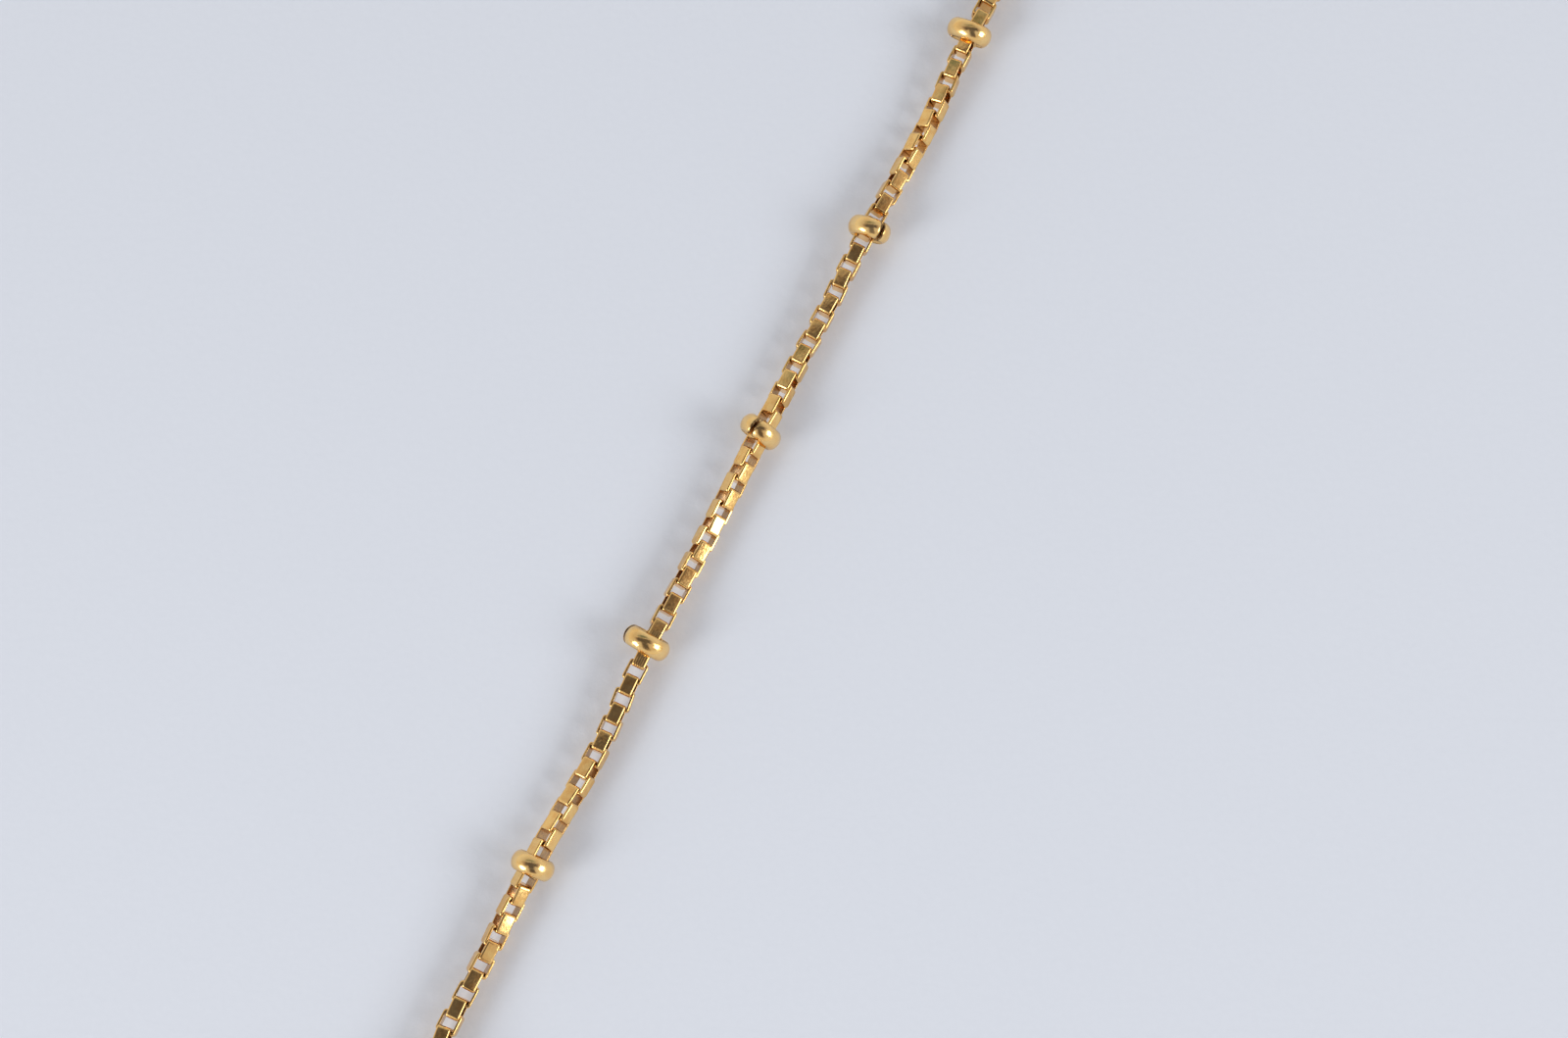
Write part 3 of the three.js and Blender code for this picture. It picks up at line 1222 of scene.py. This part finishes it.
@dataclass(frozen=True)
class SoftBox:
    """A soft oblong light.

    Attributes:
        name: the light's name.
        direction: where it stands, seen from the stretch of chain in view.
        distance: how far away it stands, in metres.
        width: how wide it is, in metres.
        height: how high it is, in metres.
        glow: the power of each square metre of it, in watts.
        colour: its colour.
    """

    name: str
    direction: tuple[float, float, float]
    distance: float
    width: float
    height: float
    glow: float
    colour: tuple[float, float, float] = (1.0, 0.98, 0.95)

    def build(self, aim: Vector) -> None:
        """Makes the light, turned to a point.

        Args:
            aim: the point it lights, in metres.
        """
        data = bpy.data.lights.new(self.name, "AREA")
        data.shape = "RECTANGLE"
        data.size = self.width
        data.size_y = self.height
        data.energy = self.glow * self.width * self.height
        data.color = self.colour
        light = bpy.data.objects.new(self.name, data)
        out = Vector(self.direction).normalized()
        light.location = aim + out * self.distance
        light.rotation_euler = out.to_track_quat("Z", "Y").to_euler()
        bpy.context.scene.collection.objects.link(light)


@dataclass(frozen=True)
class Sky:
    """The light from all round: pale walls, and a dark T overhead that the top plates mirror.

    Places in it are parts of a direction's length, x to the right and y to the back. A pair is
    where something starts to fade and where it ends.

    Attributes:
        wall: the colour of the light low down.
        upper: its colour high up, at the front and the sides.
        behind: its colour high up at the back.
        warm: its colour where the dark fades out.
        dark: its colour in the dark T.
        upper_fade: the heights between wall and upper.
        behind_fade: the depths between upper and behind.
        behind_height: the heights between wall and behind.
        bar_depth: how far back the middle of the T's bar is.
        bar_half: the fade of the bar's half depth.
        bar_reach: the fade of its half width.
        stem_half: the fade of the stem's half width.
        stem_front: the fade of its front end.
        stem_back: the fade of its back end, inside the bar.
        dark_height: the heights between which the dark fades out.
        warm_share: how dark it is where the warm colour is purest.
    """

    wall: tuple[float, float, float] = (0.76, 0.75, 0.72)
    upper: tuple[float, float, float] = (0.62, 0.61, 0.6)
    behind: tuple[float, float, float] = (0.14, 0.19, 0.17)
    warm: tuple[float, float, float] = (0.36, 0.3, 0.29)
    dark: tuple[float, float, float] = (0.115, 0.11, 0.125)
    upper_fade: tuple[float, float] = (0.2, 0.65)
    behind_fade: tuple[float, float] = (0.37, 0.46)
    behind_height: tuple[float, float] = (0.68, 0.86)
    bar_depth: float = 0.07
    bar_half: tuple[float, float] = (0.19, 0.27)
    bar_reach: tuple[float, float] = (0.42, 0.82)
    stem_half: tuple[float, float] = (0.18, 0.32)
    stem_front: tuple[float, float] = (-0.8, -0.95)
    stem_back: tuple[float, float] = (0.15, 0.3)
    dark_height: tuple[float, float] = (0.5, 0.3)
    warm_share: float = 0.5

    def build(self) -> None:
        """Makes the sky."""
        world = bpy.data.worlds.new("sky")
        bpy.context.scene.world = world
        sheet = Sheet(world)
        direction = sheet.add("SeparateXYZ")
        sheet.join(sheet.add("TexCoord").outputs["Generated"], direction.inputs[0])
        x, y, z = direction.outputs
        high = sheet.mixed(sheet.ranged(z, self.upper_fade, RISING), self.wall, self.upper)
        behind = sheet.maths(
            "MULTIPLY",
            sheet.ranged(y, self.behind_fade, RISING),
            sheet.ranged(z, self.behind_height, RISING),
        )
        pale = sheet.mixed(behind, high, self.behind)
        shade = self._shade(sheet, x, y, z)
        warmed = sheet.mixed(sheet.ranged(shade, (0.0, self.warm_share), RISING), pale, self.warm)
        whole = sheet.mixed(sheet.ranged(shade, (self.warm_share, 1.0), RISING), warmed, self.dark)
        sheet.join(whole, sheet.nodes["Background"].inputs["Color"])

    def _shade(
        self,
        sheet: Sheet,
        x: bpy.types.NodeSocket,
        y: bpy.types.NodeSocket,
        z: bpy.types.NodeSocket,
    ) -> bpy.types.NodeSocket:
        """Works out the dark T.

        Args:
            sheet: the sky's nodes.
            x: how far right a direction points.
            y: how far back it points.
            z: how far up it points.

        Returns:
            How dark it is there, from 0 to 1.
        """
        aside = sheet.maths("ABSOLUTE", x, 0.0)
        depth = sheet.maths("ABSOLUTE", sheet.maths("SUBTRACT", y, self.bar_depth), 0.0)
        bar = sheet.maths(
            "MULTIPLY",
            sheet.ranged(aside, self.bar_reach, FALLING),
            sheet.ranged(depth, self.bar_half, FALLING),
        )
        stem = sheet.ranged(aside, self.stem_half, FALLING)
        for fade in (self.stem_front, self.stem_back):
            stem = sheet.maths("MULTIPLY", stem, sheet.ranged(y, fade, FALLING))
        both = sheet.maths("MAXIMUM", bar, stem)
        return sheet.maths("MULTIPLY", both, sheet.ranged(z, self.dark_height, FALLING))


@dataclass(frozen=True)
class Studio:
    """The paper, the light and the camera.

    Attributes:
        lens: the camera's lens, in millimetres on a full frame.
        elevation: how steeply it looks down, in degrees.
        distance: from the lens to the point it looks at, in millimetres.
        aim_bead: the number of the left bead that the picture is centred near.
        aim_shift: from that bead's middle to the point it looks at, in millimetres.
        nearest: how near to the lens things still show, in millimetres.
        floor_size: the width of the paper, in metres.
        boxes: the soft lights.
    """

    lens: float = 50.0
    elevation: float = 77.78
    distance: float = 112.1
    aim_bead: int = 13
    aim_shift: tuple[float, float] = (1.19, -4.61)
    nearest: float = 1.0
    floor_size: float = 3.0
    boxes: tuple[SoftBox, ...] = (
        SoftBox("left_soft_light", (-0.756, -0.474, 0.45), 0.5, 0.22, 0.2, 24.0),
        SoftBox("right_soft_light", (0.83, -0.27, 0.48), 0.55, 0.3, 0.22, 18.0),
    )

    def build(self, route: Route) -> None:
        """Makes the studio round the stretch of chain in view.

        Args:
            route: the loop.
        """
        bead = route.point(Side.LEFT, self.aim_bead * route.bead_spacing)
        aim = (bead + Vector((*self.aim_shift, 0))) * MM
        self._floor()
        Sky().build()
        for box in self.boxes:
            box.build(aim)
        self._camera(aim)
        bpy.context.scene.view_settings.view_transform = "Standard"

    def _floor(self) -> None:
        """Lays the paper."""
        half = self.floor_size / 2
        mesh = bpy.data.meshes.new("paper")
        corners = [(-half, -half, 0), (half, -half, 0), (half, half, 0), (-half, half, 0)]
        mesh.from_pydata(corners, [], [(0, 1, 2, 3)])
        mesh.materials.append(PaperFinish().material())
        paper = bpy.data.objects.new("paper", mesh)
        bpy.context.scene.collection.objects.link(paper)

    def _camera(self, aim: Vector) -> None:
        """Sets the camera.

        Args:
            aim: the point it looks at, in metres.
        """
        data = bpy.data.cameras.new("camera")
        data.lens = self.lens
        data.clip_start = self.nearest * MM
        camera = bpy.data.objects.new("camera", data)
        lift = math.radians(self.elevation)
        back = Vector((0, -math.cos(lift), math.sin(lift)))
        camera.location = aim + back * self.distance * MM
        camera.rotation_euler = back.to_track_quat("Z", "Y").to_euler()
        bpy.context.scene.collection.objects.link(camera)
        bpy.context.scene.camera = camera


# How many degrees the chain is twisted, by the bead it is at, counted from the front one
LEFT_TWISTS = (
    (0, -360),
    (3, -335),
    (6, -378),
    (8.5, -330),
    (10.3, -274),
    (10.5, -257),
    (10.7, -241),
    (11, -229),
    (11.3, -209),
    (11.45, -197),
    (11.57, -183),
    (12, -173),
    (12.4, -154),
    (12.7, -141),
    (13, -124),
    (13.25, -108),
    (13.38, -95),
    (13.5, -91),
    (13.9, -89),
    (14, -83),
    (14.1, -74),
    (14.25, -68),
    (14.35, -46),
    (14.55, -32),
    (14.7, -15),
    (15, 0),
    (16, 22),
    (17, 8),
    (18, 0),
)
RIGHT_TWISTS = (
    (0, 0),
    (2, 40),
    (5, -35),
    (8, 60),
    (11, 175),
    (14, 130),
    (16, 190),
    (18, 180),
)
# The left side's links that are scored with grooves
LEFT_SCORED = (191, 193)


def main() -> None:
    """Builds the necklace piece by piece, then the studio round it."""
    logging.basicConfig(level=logging.INFO, format="%(name)s %(message)s")
    route = Route.from_frame()
    LOG.info("loop radii: front %.2f mm, back %.2f mm", route.front_radius, route.back_radius)
    chain_gold = CHAIN_GOLD.material()
    bead_gold = BEAD_GOLD.material()
    clasp_gold = CLASP_GOLD.material()
    bead = RingBead()
    bead.build("bead_front", Side.RIGHT, route, 0, FRONT_SET, bead_gold)
    runs = ((Side.LEFT, LEFT_TWISTS, LEFT_SCORED), (Side.RIGHT, RIGHT_TWISTS, ()))
    for side, twists, scored in runs:
        BoxChain(side, route, twists, scored).build(chain_gold)
        for number in range(1, route.beads_per_side + 1):
            node = f"bead_{side.word}_{number:02d}"
            seat = bead_set(side, number)
            bead.build(node, side, route, number * route.bead_spacing, seat, bead_gold)
        JumpRing().build(side, route, clasp_gold)
    SpringRing().build(route, clasp_gold)
    Studio().build(route)


if __name__ == "__main__":
    main()
